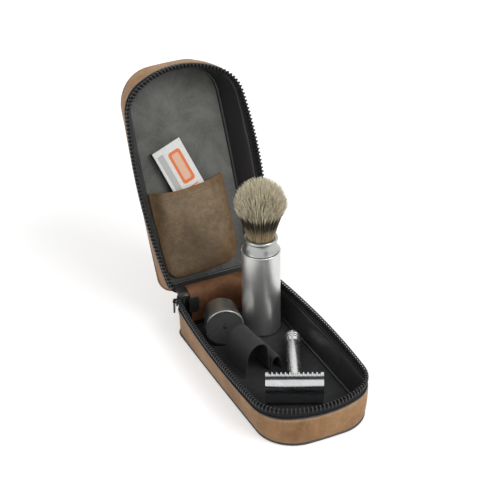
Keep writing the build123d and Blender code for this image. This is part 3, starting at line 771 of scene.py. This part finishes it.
# Strips that cross the fold between the two halves, from outside to inside; points are (y, z)
foldStrips = {
    "spineLeather": {
        "path": [
            (87.6, 17.0), (87.6, 25.0), (87.8, 27.8), (88.6, 29.0), (90.0, 29.2), (92.4, 28.9), (100.6, 25.1),
        ],
        "across": (-30.5, 30.5), "thickness": 1.4, "corner": 0.0, "finish": tanHide, "slot": "tan_leather",
        "flat": (0.061, 0.0253),
    },
    "foldLining": {
        "path": [
            (85.2, 12.0), (85.4, 22.0), (86.0, 27.0), (87.6, 29.9), (90.2, 30.7), (93.0, 30.3), (98.0, 28.6),
        ],
        "across": (-39.4, 39.4), "thickness": 0.9, "corner": 0.0, "finish": blackLining,
        "slot": "black_lining", "flat": (0.079, 0.0310),
    },
    "hingeLeather": {
        "path": [
            (82.5, 6.6), (82.6, 14.0), (82.8, 21.0), (84.3, 27.2), (86.9, 30.6), (90.2, 31.9), (93.4, 31.9),
            (96.4, 31.1),
        ],
        "across": (-30.0, 20.0), "thickness": 1.5, "corner": 6.0, "finish": foldHide, "slot": "brown_leather",
        "flat": (0.050, 0.0345),
    },
}
foldSteps = {"along": 30, "across": 40}
foldCorner = {"start": 31.0, "radius": 9.2, "turn": (0.35, 0.75)}


# Past the straight of the hinge wall a strip follows the round corners of both halves
def roundedCorner(x, share):
    s = foldCorner
    past = min(max(abs(x) - s["start"], 0.0), s["radius"] - 0.5)
    drop = s["radius"] - sqrt(s["radius"] ** 2 - past**2)
    lidShare = smoothStep(share, *s["turn"])
    return Vector((0, -drop, 0)) * (1 - lidShare) + lidUp * (drop * lidShare)


def makeFoldStrip(name, s, replaced=()):
    left, right = s["across"]
    steps = foldSteps["across"]
    path = smoothLine([(0, y, z) for y, z in s["path"]], foldSteps["along"])
    lengths = [(path[-1] - p).length for p in path]
    rows = []
    for order, (p, ahead) in enumerate(zip(path, lengths)):
        cut = s["corner"] - sqrt(max(s["corner"] ** 2 - max(s["corner"] - ahead, 0.0) ** 2, 0.0))
        row = [Vector((left + (right - cut - left) * k / steps, p.y, p.z)) for k in range(steps + 1)]
        rows.append([q + roundedCorner(q.x, order / (len(path) - 1)) for q in row])
    piece = keep(skinRows(rows, closedRow=False), name, s["finish"], None, replaced)
    settle(soften(piece, s["thickness"], 0, 0.3))
    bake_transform(piece)


for name, settings in foldStrips.items():
    makeFoldStrip(name, settings, ["hinge_gusset"] if name == "hingeLeather" else [])

zipEnd = {
    "path": [(81.9, 15.6), (81.7, 20.0), (81.6, 25.0), (82.3, 28.6)],
    "across": (-32.4, -23.8), "thickness": 1.1, "rows": 12, "narrow": 1.6, "narrowRows": 2.5,
}


def makeZipEnd(s):
    left, right = s["across"]
    rows = []
    for k, p in enumerate(smoothLine([(0, y, z) for y, z in s["path"]], s["rows"])):
        narrow = s["narrow"] * max(0.0, 1 - k / s["narrowRows"]) ** 2
        wide = right - left - 2 * narrow
        rows.append([Vector((left + narrow + wide * j / 6, p.y, p.z)) for j in range(7)])
    piece = keep(skinRows(rows, closedRow=False), "zipEndTab", zipWeave, "tray", ["zip_end"])
    soften(piece, s["thickness"], 1, 0.3)


makeZipEnd(zipEnd)
print("fold made")

# Elastic loops that stand on the tray's floor; points are (across, up) from each loop's own middle
webbing = {
    "turn": radians(4.0), "width": 30, "floor": 3.35, "thickness": 1.1, "pinch": 0.018, "dip": 0.35,
    "around": 44, "across": 14,
}
loops = {
    "largeLoop": {
        "middle": -12.5, "node": "large_loop", "flat": (0.030, 0.0700),
        "line": [
            (-12.4, 0.6), (-10.9, 0.65), (-10.4, 2.4), (-10.0, 8.5), (-9.2, 16.5), (-6.6, 22.6), (-2.4, 26.0),
            (2.2, 26.9), (6.4, 24.9), (8.6, 20.6), (9.5, 14.5), (9.9, 7.0), (10.2, 2.2), (10.9, 0.65),
            (12.3, 0.6),
        ],
    },
    "smallLoop": {
        "middle": 2.9, "node": "small_loop", "flat": (0.030, 0.0315),
        "line": [
            (-5.3, 0.6), (-4.4, 0.7), (-4.1, 2.6), (-3.9, 6.8), (-2.6, 10.2), (0.0, 11.4), (2.5, 10.6),
            (3.8, 7.2), (4.0, 2.8), (4.3, 0.7), (5.2, 0.6),
        ],
    },
}


def makeLoop(name, s):
    w = webbing
    ahead = Vector((-sin(w["turn"]), cos(w["turn"]), 0))
    side = Vector((cos(w["turn"]), sin(w["turn"]), 0))
    foot = Vector((s["middle"], 0, w["floor"]))
    line = smoothLine([(x, 0, z) for x, z in s["line"]], w["around"])
    rows = []
    for k in range(w["across"] + 1):
        t = k / w["across"]
        row = []
        for p in line:
            pinch = 1 - w["pinch"] * cos(2 * pi * t) * min(1.0, p.z / 10)
            dip = -w["dip"] * sin(pi * t) * min(1.0, p.z / 20)
            q = foot + side * (p.x * pinch) + Vector((0, 0, p.z + dip))
            row.append(q + ahead * (w["width"] * t))
        rows.append(row)
    piece = keep(skinRows(rows, closedRow=False), name, loopElastic, "tray", [s["node"]])
    soften(piece, w["thickness"], 1, 0.25)


for name, settings in loops.items():
    makeLoop(name, settings)
print("loops made")

# Pocket on the lid's floor: x and s run across and up the lid, h stands off it
pocket = {
    "left": [(-33.0, 5.2), (-34.6, 22.0), (-35.3, 42.0), (-36.2, 60.0), (-36.4, 75.6)],
    "right": [(26.2, 7.6), (27.6, 22.0), (27.6, 40.0), (27.2, 60.0), (26.5, 78.6)],
    "mouth": [(-36.4, 75.6), (-24.9, 73.9), (-12.5, 73.4), (5.2, 74.9), (16.4, 76.5), (26.5, 78.6)],
    "foot": [(-33.0, 5.2), (-10.0, 5.6), (10.0, 6.6), (26.2, 7.6)],
    "corners": (9.0, 13.0),
    "rowPower": 1.35, "seamHeight": 0.9, "seamFade": 5.0, "wearFade": 3.0, "swell": 2.6, "standOff": 8.3,
    "leather": 1.4, "stitchPitch": 3.0, "stitchHeight": 0.85, "flat": (0.066, 0.078),
}


def lidPoint(x, s, h):
    return lidFoot + Vector((x, 0, 0)) + lidUp * s + lidIn * h


def makePocket(s):
    columns, rowCount = 45, 49
    left, right = (smoothLine([(x, y, 0) for x, y in s[side]], rowCount) for side in ("left", "right"))
    mouth, foot = (smoothLine([(x, y, 0) for x, y in s[end]], columns) for end in ("mouth", "foot"))
    rows, wears = [], []
    for j in range(rowCount):
        v = (j / (rowCount - 1)) ** s["rowPower"]
        position = v * (rowCount - 1)
        low = min(int(position), rowCount - 2)
        a, b = (side[low].lerp(side[low + 1], position - low) for side in (left, right))
        row, wearRow = [], []
        for k in range(columns):
            u = k / (columns - 1)
            p = a.lerp(b, u)
            footBow, mouthBow = (end[k] - end[0].lerp(end[-1], u) for end in (foot, mouth))
            p += footBow * (1 - v) + mouthBow * v
            rise = p.y - foot[k].y
            for corner, edge, inside in ((s["corners"][0], u < 0.5, 1), (s["corners"][1], u >= 0.5, -1)):
                if edge and rise < corner:
                    cut = corner - sqrt(max(corner**2 - (corner - rise) ** 2, 0.0))
                    p.x += inside * cut * abs(u - 0.5) * 2
            seam = min(p.x - a.x, b.x - p.x, rise * 1.2)
            box = smoothStep(p.x, -36.0, -27.0) * (1 - smoothStep(p.x, 10.0, 26.0))
            upper = smoothStep(v, 0.25, 0.82)
            soft = 1 - exp(-max(seam, 0.0) / s["seamFade"])
            swell = s["swell"] * soft + (s["standOff"] - 3.2) * upper * box
            folds = sin(p.x * 0.35 + v * 5) * 0.35 + sin(p.x * 0.16 - v * 9 + 1.0) * 0.45
            folds += sin((p.x + p.y) * 0.21) * 0.3
            height = s["seamHeight"] + swell + folds * soft * (1 - upper * 0.6) * 0.8
            row.append(lidPoint(p.x, p.y, height + 0.55))
            lower = 0.8 * smoothStep(p.x - p.y * 0.6, -8.0, 16.0)
            wearRow.append(max(exp(-max(seam, 0.0) / s["wearFade"]), smoothStep(v, 0.93, 1.0), lower))
        rows.append(row)
        wears.append(wearRow)
    bm = skinRows(rows, closedRow=False)
    column, rank = bm.verts.layers.int["column"], bm.verts.layers.int["rank"]
    wear = bm.verts.layers.float.new("wear")
    for vertex in bm.verts:
        vertex[wear] = wears[vertex[rank]][vertex[column]]
    piece = keep(bm, "lidPocket", pocketHide, "lid", ["lid_pocket"])
    soften(piece, s["leather"], 1, 0.3)
    line = [rows[-4][k] + lidIn * s["stitchHeight"] for k in range(1, columns - 1)]
    places = [setAt(point, along, lidIn) for point, along in stations(line, s["stitchPitch"], margin=1.0)]
    keep(setOut(stitchMesh, places), "pocketStitches", pocketThread, "lid")


makePocket(pocket)
print("pocket made")

# Carton of blades: a printed sleeve round a plain tray; its own x runs across and y along
carton = {
    "origin": (-8.6, 151.505, 101.26), "x": (0.946, 0.141, 0.294), "y": (-0.326, 0.409, 0.853),
    "size": (26.5, 48.0, 6.2), "card": 0.6,
}


def cartonPlace(s):
    x = Vector(s["x"]).normalized()
    z = x.cross(Vector(s["y"])).normalized()
    turned = Matrix((x, z.cross(x), z)).transposed().to_4x4()
    return Matrix.Translation(Vector(s["origin"])) @ turned


# Printed card: an orange tablet, a grey panel and two fine rules on white; the sides are painted dark grey as
# painted shade
def makeCardPrint():
    material, tree, shader, where = newFinish("printedCard", {"Roughness": 0.38, "Specular IOR Level": 0.45})
    parts = addNode(tree, "ShaderNodeSeparateXYZ", {0: where["UV"]}).outputs

    def tablet(x, y, halfX, halfY, radius):
        squares = []
        for axis, middle, reach in (("X", x, halfX), ("Y", y, halfY)):
            off = maths(tree, "ABSOLUTE", maths(tree, "SUBTRACT", parts[axis], middle * mm))
            past = maths(tree, "MAXIMUM", maths(tree, "SUBTRACT", off, (reach - radius) * mm), 0.0)
            squares.append(maths(tree, "MULTIPLY", past, past))
        away = maths(tree, "SQRT", maths(tree, "ADD", *squares))
        return spread(tree, away, (radius + 0.1) * mm, (radius - 0.1) * mm)

    front = readAttribute(tree, "front")
    speck = noise(tree, where["Object"], 500.0, 4.0)
    white = ramp(tree, speck, [(0.3, (0.74, 0.74, 0.72)), (0.7, (0.82, 0.82, 0.80))])
    colour = mixColour(tree, tablet(-8.2, 2.0, 2.6, 17.5, 0.6), white, (0.50, 0.50, 0.49))
    colour = mixColour(tree, tablet(3.2, 3.5, 5.6, 14.0, 2.4), colour, (0.82, 0.20, 0.055))
    colour = mixColour(tree, tablet(3.2, 3.5, 3.2, 11.5, 1.6), colour, (0.80, 0.50, 0.36))
    colour = mixColour(tree, tablet(3.2, -14.5, 5.6, 0.5, 0.3), colour, (0.82, 0.20, 0.055))
    # Painted shade: every face but the printed front gets this dark grey
    side = ramp(tree, speck, [(0.3, (0.075, 0.078, 0.082)), (0.7, (0.11, 0.113, 0.118))])
    tree.links.new(mixColour(tree, front, side, colour), shader["Base Color"])
    setBump(tree, shader, speck, 0.05, 0.1)
    return material


def makeCarton(s):
    bm = bmesh.new()
    bmesh.ops.create_cube(bm, size=1.0)
    depth = s["size"][2]
    bmesh.ops.scale(bm, verts=bm.verts, vec=s["size"])
    bmesh.ops.translate(bm, verts=bm.verts, vec=(0, 0, depth / 2))
    ends = [f for f in bm.faces if abs(f.normal.y) > 0.5]
    bmesh.ops.delete(bm, geom=ends, context="FACES_ONLY")
    corners = [e for e in bm.edges if abs((e.verts[0].co - e.verts[1].co).y) > 1]
    bmesh.ops.bevel(bm, geom=corners, affect="EDGES", offset=0.45, segments=3, profile=0.5, material=-1)
    bmesh.ops.solidify(bm, geom=bm.faces[:], thickness=s["card"])
    bmesh.ops.recalc_face_normals(bm, faces=bm.faces)
    uv = bm.loops.layers.uv.new("UVMap")
    front = bm.verts.layers.float.new("front")
    for face in bm.faces:
        for loop in face.loops:
            loop[uv].uv = (loop.vert.co.x * mm, loop.vert.co.y * mm)
    # The front mask: faces off the front carry the painted shade of the sides
    for vertex in bm.verts:
        vertex[front] = 1.0 if vertex.co.z > depth - 0.35 else 0.0
    finish, place = makeCardPrint(), cartonPlace(s)
    keep(bm, "bladeSleeve", finish, "blade_box", ["blade_sleeve"], smooth=False, place=place)


makeCarton(carton)
print("carton made")

# Brush hair: each strand is its own tapered tube from the collar to the dome
knot = {
    "middle": (17.8, 56.2), "rootHeight": 84.0, "rootRadius": 9.6, "domeHeight": 115.8, "domeRadius": 20.0,
    "spread": 98.0, "strands": 4600, "clumps": 420, "clumping": 0.55, "hairRadius": 0.2, "seed": 21,
}


def makeHairFinish():
    material, tree, shader, where = newFinish("badgerHair", {"Roughness": 0.5, "Specular IOR Level": 0.3})
    share, tone = readAttribute(tree, "share"), readAttribute(tree, "tone")
    moved = maths(tree, "ADD", share, spread(tree, tone, 0.0, 1.0, -0.07, 0.07))
    colour = ramp(tree, moved, [
        (0.0, (0.34, 0.25, 0.13)), (0.2, (0.50, 0.39, 0.22)), (0.36, (0.36, 0.27, 0.15)),
        (0.46, (0.045, 0.034, 0.025)), (0.66, (0.038, 0.030, 0.024)), (0.74, (0.38, 0.31, 0.20)),
        (0.81, (0.90, 0.81, 0.60)), (1.0, (0.98, 0.92, 0.74)),
    ])
    pale = mixColour(tree, spread(tree, tone, 0.7, 1.0, 0.0, 0.3), colour, (0.90, 0.82, 0.61))
    shaded = mixColour(tree, spread(tree, tone, 0.0, 0.4, 0.62, 0.0), pale, (0.11, 0.08, 0.055))
    streaks = noise(tree, where["Object"], 260.0)
    colour = mixColour(tree, spread(tree, streaks, 0.58, 0.78, 0.0, 0.35), shaded, (0.16, 0.12, 0.08))
    tree.links.new(colour, shader["Base Color"])
    return material


def makeHair(s):
    rng = np.random.default_rng(s["seed"])
    count, limit = s["strands"], radians(s["spread"])
    lowest = cos(limit)

    def onDome(number):
        height = rng.uniform(lowest, 1.0, number)
        turn = rng.uniform(0, 2 * pi, number)
        flat = np.sqrt(1 - height**2)
        return np.stack([flat * np.cos(turn), flat * np.sin(turn), height], 1)

    tips, clumps = onDome(count), onDome(s["clumps"])
    nearest = clumps[np.argmax(tips @ clumps.T, axis=1)]
    pull = rng.uniform(0.0, s["clumping"], (count, 1))
    tips = tips * (1 - pull) + nearest * pull
    tips /= np.linalg.norm(tips, axis=1, keepdims=True)
    heights = np.clip(tips[:, 2], lowest, 1.0)
    flat = tips[:, :2] / np.maximum(np.linalg.norm(tips[:, :2], axis=1, keepdims=True), 1e-6)
    rootShare = np.sqrt((1 - heights) / (1 - lowest))[:, None]
    roots = np.concatenate([flat * rootShare * s["rootRadius"], np.full((count, 1), s["rootHeight"])], 1)
    reach = s["domeRadius"] + rng.normal(-0.7, 0.95, (count, 1)).clip(-3.2, 0.9)
    ends = tips * reach + np.array([0, 0, s["domeHeight"]])
    outward = np.concatenate([flat, np.zeros((count, 1))], 1)
    span = np.linalg.norm(ends - roots, axis=1, keepdims=True)
    firstBend = roots + np.array([0, 0, 1.0]) * span * 0.30 + outward * rootShare * span * 0.10
    lastBend = ends - (tips * 0.55 + np.array([0, 0, 0.6])) * span * 0.30
    wander = rng.normal(0, 0.35, (count, 3))
    curve = bpy.data.curves.new("knotHair", "CURVE")
    curve.dimensions = "3D"
    curve.bevel_depth, curve.bevel_resolution = s["hairRadius"] * mm, 0
    middle = np.array([*s["middle"], 0.0])
    times = np.linspace(0, 1, 6)
    widths = [0.9, 1.0, 1.0, 0.9, 0.65, 0.3]
    lines = []
    for t in times:
        at = (1 - t) ** 3 * roots + 3 * (1 - t) ** 2 * t * firstBend
        at = at + 3 * (1 - t) * t * t * lastBend + t**3 * ends
        lines.append((at + middle + wander * t * (1 - t) * 2) * mm)
    lines = np.stack(lines, 1)
    for line in lines:
        spline = curve.splines.new("POLY")
        spline.points.add(len(times) - 1)
        spline.points.foreach_set("co", np.concatenate([line, np.ones((len(times), 1))], 1).ravel())
        spline.points.foreach_set("radius", widths)
    holder = addObject("knotHairCurve", curve)
    mesh = finishedMesh(holder)
    bpy.data.objects.remove(holder)
    mesh.name = "knotHair"
    perStrand = len(mesh.vertices) // count
    around = perStrand // len(times)
    order = np.arange(len(mesh.vertices))
    shares = times[(order % perStrand) // around]
    tones = rng.uniform(0, 1, count)[order // perStrand]
    for label, values in (("share", shares), ("tone", tones)):
        attribute = mesh.attributes.new(label, "FLOAT", "POINT")
        attribute.data.foreach_set("value", values.astype(np.float32))
    mesh.materials.clear()
    mesh.materials.append(makeHairFinish())
    mesh.polygons.foreach_set("use_smooth", [True] * len(mesh.polygons))
    piece = addObject("knotHair", mesh)
    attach(piece, "brush_head")
    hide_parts("brush_knot")


makeHair(knot)
print("hair made")

# Pieces kept from the CAD model
nodeFinishes = {
    "tray_board": pressedBoard, "lid_board": pressedBoard, "zip_slider": blackMetal, "zip_pull": blackMetal,
    "brush_tube": satinAluminium, "brush_collar": capAluminium, "travel_cap": capAluminium,
    "travel_cap_disc": paintedReflectionDisc, "razor_plate": polishedChrome, "razor_cap": polishedChrome,
    "razor_handle": satinChrome, "razor_blade": bladeSteel, "blade_tray": greyCard,
}
for name, finish in nodeFinishes.items():
    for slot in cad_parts[name].material_slots:
        slot.material = finish
print("nodes finished")

# Studio: a pale floor that keeps the shadow, a white surround, soft lamps and dark cards for the metal
studio = {
    "floorHalf": 3.0,
    "lift": 0.43,
    "surround": 0.56,
    "aim": (0, 0.04, 0.05),
    "lamps": {
        "keyLamp": {"place": (0.75, -1.15, 1.6), "size": 1.2, "power": 20.0},
        "sideLamp": {"place": (-1.4, 0.1, 1.2), "size": 0.9, "power": 4.0},
    },
    "cards": {
        "leftCard": {"middle": (-0.60, 0.42, 0.25), "width": 0.55, "height": 0.9, "facing": (0.8, -0.6, 0)},
        "frontCard": {"middle": (0.12, -0.80, 0.25), "width": 0.30, "height": 0.9, "facing": (-0.15, 1, 0)},
        "upperCard": {
            "middle": (-0.24, -0.60, 0.85), "width": 0.5, "height": 0.35, "facing": (0.24, 0.55, -0.8),
        },
    },
}


def isSeen(tree):
    path = tree.nodes.new("ShaderNodeLightPath").outputs
    seen = maths(tree, "ADD", path["Is Camera Ray"], path["Is Glossy Ray"], True)
    return maths(tree, "ADD", seen, path["Is Transmission Ray"], True)


def makeStudio(s):
    bm = bmesh.new()
    bmesh.ops.create_grid(bm, x_segments=8, y_segments=8, size=s["floorHalf"] * 1000)
    bmesh.ops.translate(bm, verts=bm.verts, vec=(0, 0, -0.2))
    constants = {"Base Color": (0.8, 0.8, 0.8, 1), "Roughness": 0.9, "Emission Color": (1, 1, 1, 1)}
    paper, tree, shader = newFinish("palePaper", constants)[:3]
    tree.links.new(maths(tree, "MULTIPLY", isSeen(tree), s["lift"]), shader["Emission Strength"])
    keep(bm, "studioFloor", paper, None)
    world = bpy.data.worlds.new("studioWorld")
    scene.world = world
    world.use_nodes = True
    tree = world.node_tree
    strength = spread(tree, isSeen(tree), 0.0, 1.0, s["surround"], 1.0)
    backdrop = tree.nodes["Background"].inputs
    backdrop["Color"].default_value = (1, 1, 1, 1)
    tree.links.new(strength, backdrop["Strength"])
    for name, lamp in s["lamps"].items():
        data = bpy.data.lights.new(name, "AREA")
        data.size, data.energy = lamp["size"], lamp["power"]
        holder = addObject(name, data)
        holder.location = lamp["place"]
        ahead = Vector(s["aim"]) - Vector(lamp["place"])
        holder.rotation_euler = ahead.to_track_quat("-Z", "Y").to_euler()
    dark = newFinish("darkCard", {"Base Color": (0.02, 0.02, 0.02, 1)})[0]
    for name, card in s["cards"].items():
        bm = bmesh.new()
        bmesh.ops.create_grid(bm, x_segments=1, y_segments=1, size=500)
        bmesh.ops.scale(bm, verts=bm.verts, vec=(card["width"], card["height"], 1))
        turned = Vector(card["facing"]).to_track_quat("Z", "Y").to_matrix().to_4x4()
        place = Matrix.Translation(Vector(card["middle"]) * 1000) @ turned
        holder = keep(bm, name, dark, None, place=place)
        holder.visible_camera = holder.visible_diffuse = holder.visible_shadow = False


makeStudio(studio)
print("studio made")
